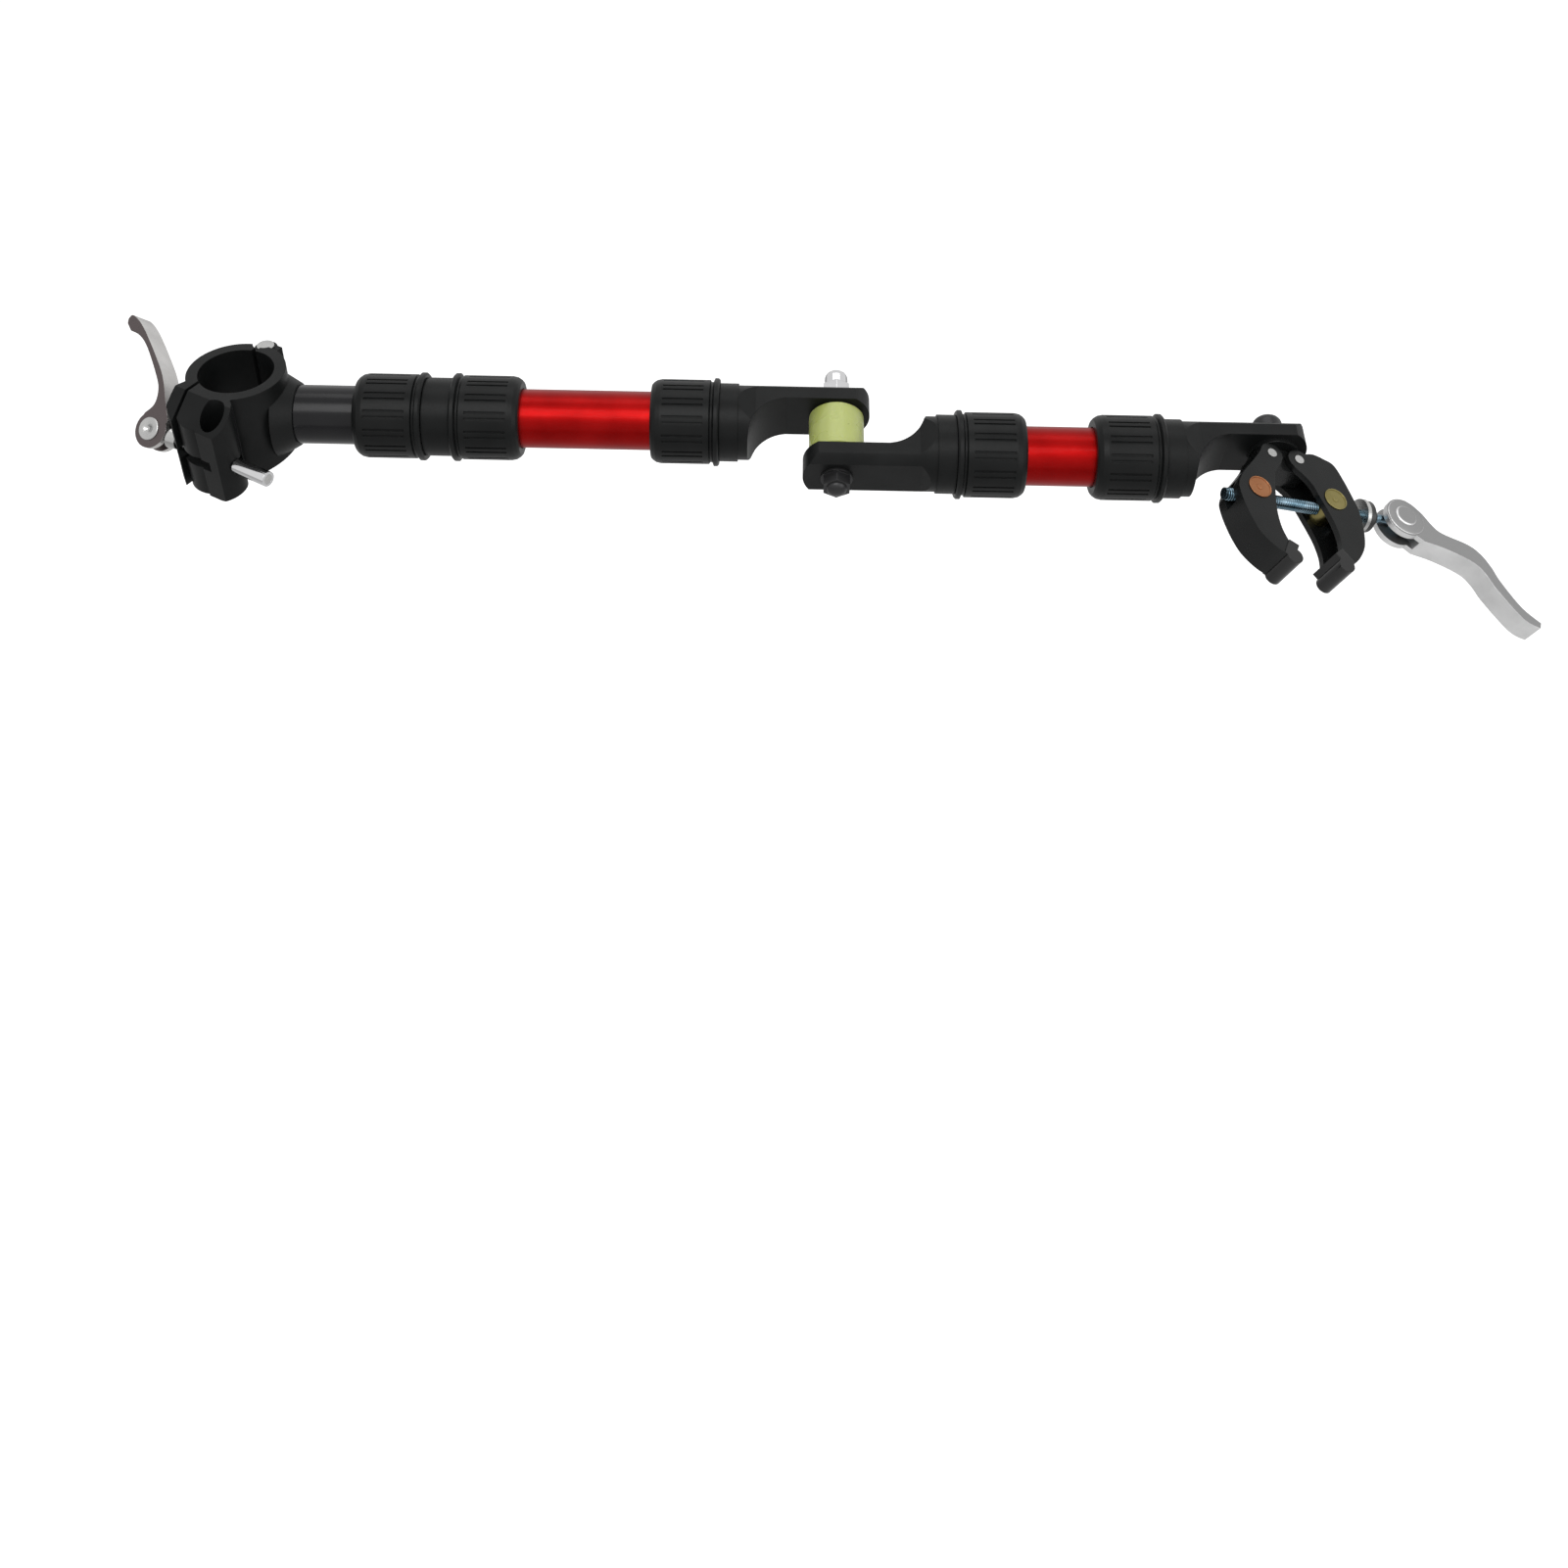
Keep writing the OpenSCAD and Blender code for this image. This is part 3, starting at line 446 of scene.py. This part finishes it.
for number, face in both_faces(LEVER_W):
    barrel_head = revolved(f"small_lever_barrel_head_{number}", BARREL_HEAD)
    add_piece(barrel_head, "skewer", steel, at_small_lever @ face)
    eye_disc = revolved(f"large_lever_eye_disc_{number}", EYE_DISC, 96)
    place = at_large_lever @ shift(0, -EYE_DROP, 0) @ face
    add_piece(eye_disc, "large_lever", light_cast, place)
    button = revolved(f"large_lever_button_{number}", BUTTON)
    place = at_large_lever @ shift(0, -BUTTON_DROP, 0) @ face
    add_piece(button, "large_lever", light_cast, place)

for pin, centre, slot_name, finish in (
    ("trunnion_1", trunnion_1, "copper_pin", copper),
    ("trunnion_2", trunnion_2, "brass_pin", brass),
):
    for number, face in both_faces(JAW_W + PIN_PROUD):
        place = at_swivel @ shift(centre[0], 0, centre[1]) @ turn("X", 90) @ face
        add_piece(revolved(f"{pin}_rim_{number}", PIN_RING), pin, finish, place)
        add_piece(revolved(f"{pin}_centre_mark_{number}", CENTRE_MARK, 32), pin, finish, place)

nut_dome = revolved("joint_lock_nut_dome", NUT_DOME)
place = at_joint @ shift(0, 0, -LOWER_ARM_OUT - NUT_H) @ turn("Y", 90)
add_piece(nut_dome, "upper_arm", hardware_black, place)


# Studio


def white_world():
    """Soft light from all round, which the camera, metal and glass see as white."""
    world = bpy.data.worlds.new("studio")
    bpy.context.scene.world = world
    world.use_nodes = True
    nodes = world.node_tree.nodes
    links = world.node_tree.links
    back = nodes["Background"]
    rays = nodes.new("ShaderNodeLightPath")
    seen = nodes.new("ShaderNodeMath")
    seen.operation = "MAXIMUM"
    links.new(rays.outputs["Is Camera Ray"], seen.inputs[0])
    links.new(rays.outputs["Is Transmission Ray"], seen.inputs[1])
    mirrored = nodes.new("ShaderNodeMath")
    mirrored.operation = "MAXIMUM"
    links.new(seen.outputs[0], mirrored.inputs[0])
    links.new(rays.outputs["Is Glossy Ray"], mirrored.inputs[1])
    level = nodes.new("ShaderNodeMapRange")
    level.inputs["To Min"].default_value = WORLD_LEVEL
    level.inputs["To Max"].default_value = 1.0
    links.new(mirrored.outputs[0], level.inputs["Value"])
    back.inputs["Color"].default_value = (1, 1, 1, 1)
    links.new(level.outputs["Result"], back.inputs["Strength"])


def white_floor():
    """Pale floor far below the bar, lifted to white for the camera."""
    data = bpy.data.meshes.new("floor")
    corners = [(x * FLOOR_HALF, y * FLOOR_HALF, 0) for x, y in ((-1, -1), (1, -1), (1, 1), (-1, 1))]
    data.from_pydata(corners, [], [(0, 1, 2, 3)])
    floor = bpy.data.objects.new("floor", data)
    floor.location.z = FLOOR_Z
    bpy.context.scene.collection.objects.link(floor)
    mat, nodes, links, bsdf = new_material("floor_paint")
    bsdf.inputs["Base Color"].default_value = (*FLOOR_COLOUR, 1)
    bsdf.inputs["Roughness"].default_value = 0.9
    bsdf.inputs["Emission Color"].default_value = (1, 1, 1, 1)
    rays = nodes.new("ShaderNodeLightPath")
    glow = nodes.new("ShaderNodeMath")
    glow.operation = "MULTIPLY"
    glow.inputs[1].default_value = FLOOR_GLOW
    links.new(rays.outputs["Is Camera Ray"], glow.inputs[0])
    links.new(glow.outputs[0], bsdf.inputs["Emission Strength"])
    data.materials.append(mat)


def lamp(name, place, aim, size, power):
    data = bpy.data.lights.new(name, "AREA")
    data.shape = "RECTANGLE"
    data.size = size[0]
    data.size_y = size[1]
    data.energy = power
    lamp_object = bpy.data.objects.new(name, data)
    lamp_object.location = place
    direction = Vector(aim) - Vector(place)
    lamp_object.rotation_euler = direction.to_track_quat("-Z", "Y").to_euler()
    bpy.context.scene.collection.objects.link(lamp_object)


def photo_camera():
    down = math.radians(CAMERA_DOWN)
    toward = Vector((0, -math.cos(down), math.sin(down)))
    up = Vector((0, math.sin(down), math.cos(down)))
    right = Vector((1, 0, 0))
    data = bpy.data.cameras.new("camera")
    data.sensor_width = 36.0
    data.lens = data.sensor_width * FOCAL_PX / FRAME_PX
    data.shift_x = (FRAME_PX / 2 - AXIS_PX[0]) / FRAME_PX
    data.shift_y = (AXIS_PX[1] - FRAME_PX / 2) / FRAME_PX
    camera = bpy.data.objects.new("camera", data)
    bpy.context.scene.collection.objects.link(camera)
    place = (CAMERA_X * right + CAMERA_UP * up + CAMERA_DISTANCE * toward) * MM
    axes = Matrix((right, up, toward)).transposed().to_4x4()
    camera.matrix_world = Matrix.Translation(place) @ axes @ turn("Z", CAMERA_ROLL)
    bpy.context.scene.camera = camera


bpy.context.scene.view_settings.view_transform = "Standard"
white_world()
white_floor()
lamp("key", (0.10, -0.75, 1.30), (0.30, 0.0, 0.0), (1.2, 0.8), 10.0)
lamp("fill", (1.10, -0.60, 0.50), (0.35, 0.0, 0.0), (0.8, 0.8), 3.0)
lamp("rim", (0.30, 0.65, 1.35), (0.30, 0.0, 0.0), (1.4, 0.5), 3.5)
photo_camera()
